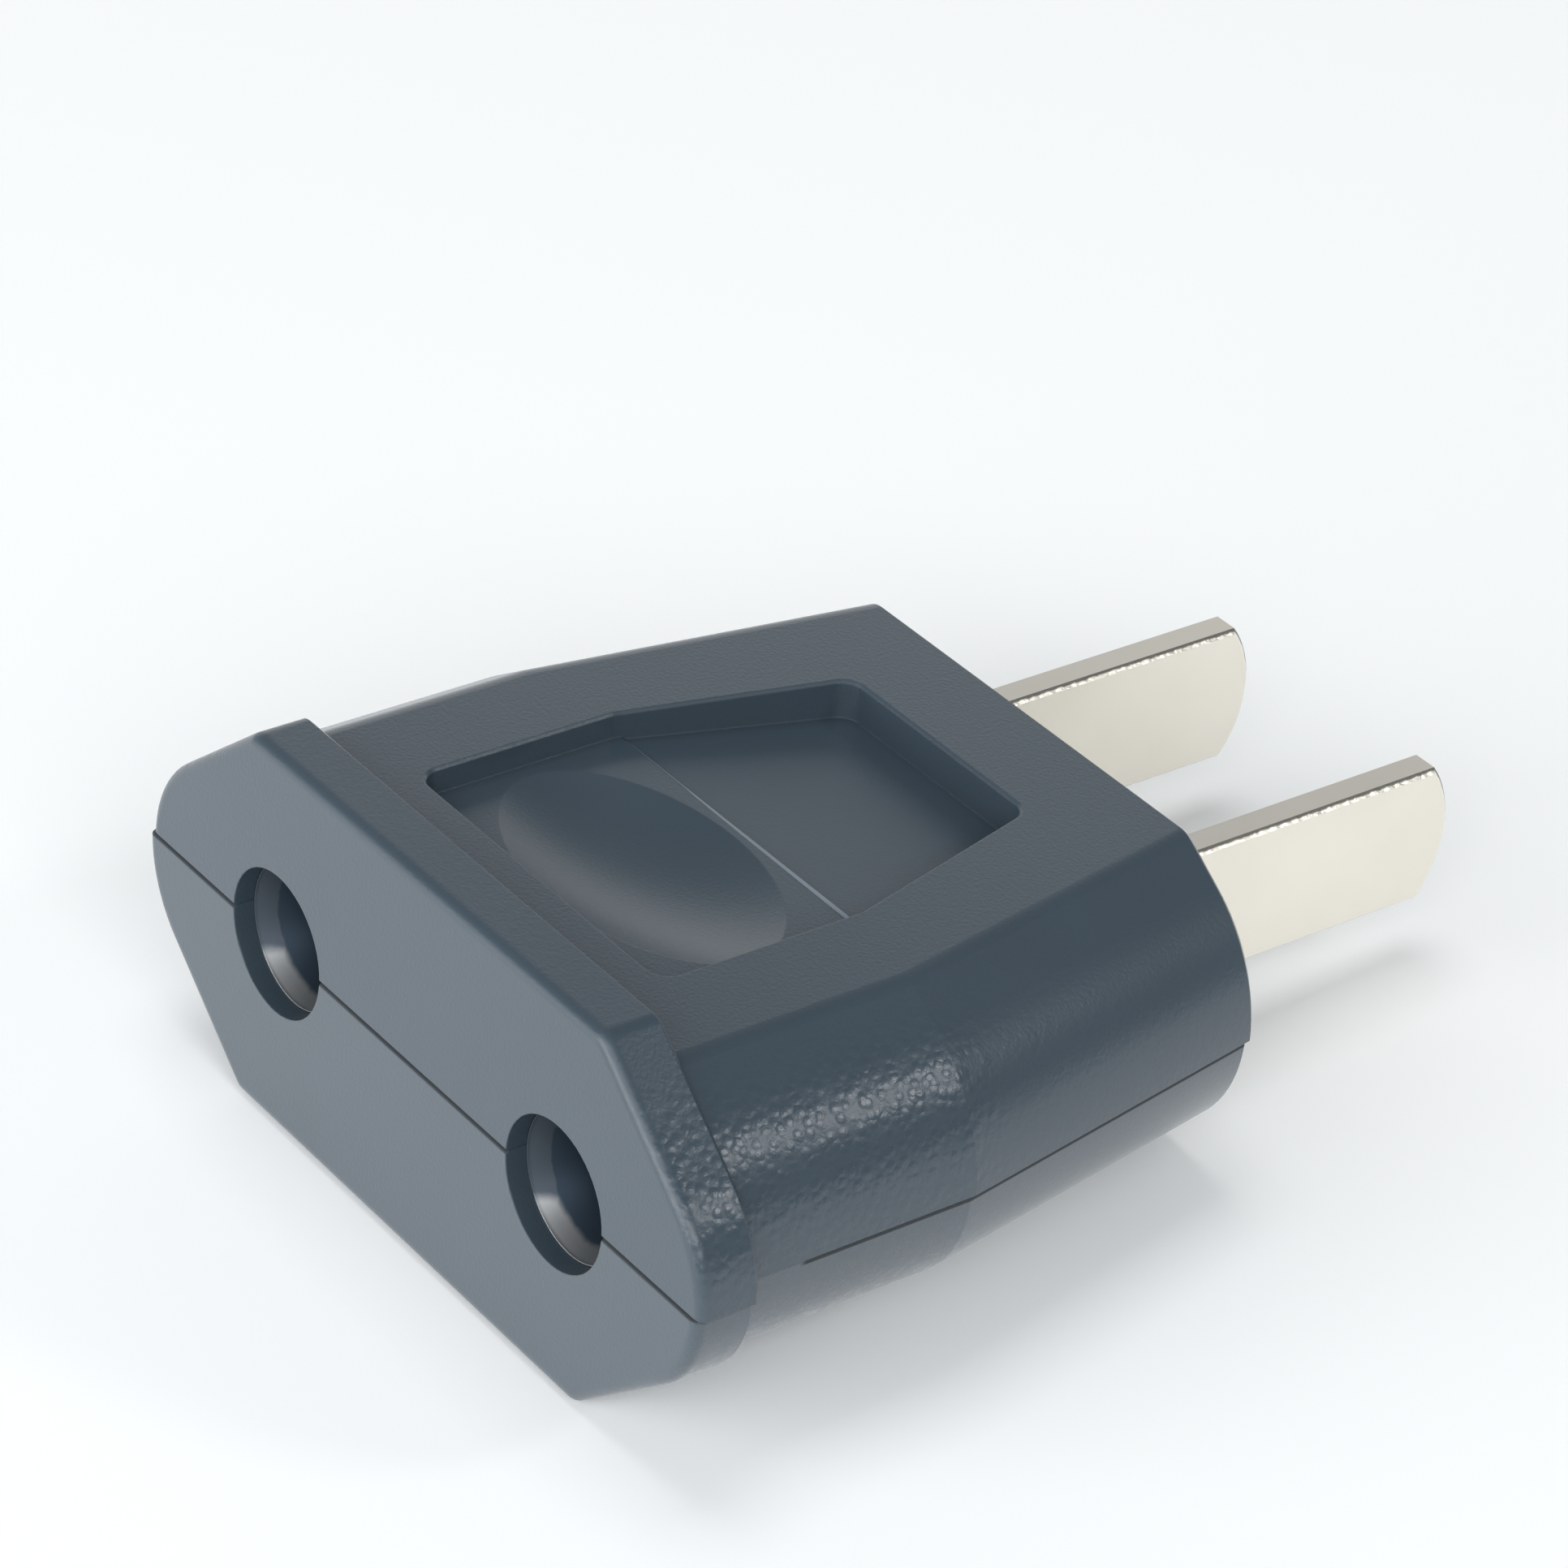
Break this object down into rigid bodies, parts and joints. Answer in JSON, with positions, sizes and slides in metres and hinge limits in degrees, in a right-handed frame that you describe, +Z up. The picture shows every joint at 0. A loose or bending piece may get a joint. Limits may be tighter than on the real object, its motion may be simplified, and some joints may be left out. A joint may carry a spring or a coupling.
{
  "type": "travel adapter",
  "caption": "Flat travel adapter: pin holes in a flanged face lead to spring sleeves riveted to parallel flat blades that leave the tapered nose; grip recess and thumb hollow on top.",
  "frame": {"origin": "middle of the socket face, on the seam between the shells and half-way between the pin holes", "axes": "+X along the row of pin holes, +Y the way a pin goes in and the blades point, +Z up out of the face with the grip recess"},
  "size_m": [0.0378, 0.0463, 0.0168],
  "materials": {
    "shell": "black moulded plastic with a fine spark-eroded grain",
    "blade": "satin nickel plate over brass",
    "sleeve": "rolled brass strip, nickel plated",
    "rivet": "plain brass"
  },
  "bodies": {
    "root": {"upper_shell": "shell", "lower_shell": "shell", "left_blade": "blade", "right_blade": "blade", "left_pin_sleeve": "sleeve", "right_pin_sleeve": "sleeve", "left_rivet": "rivet", "right_rivet": "rivet"}
  },
  "joints": []
}
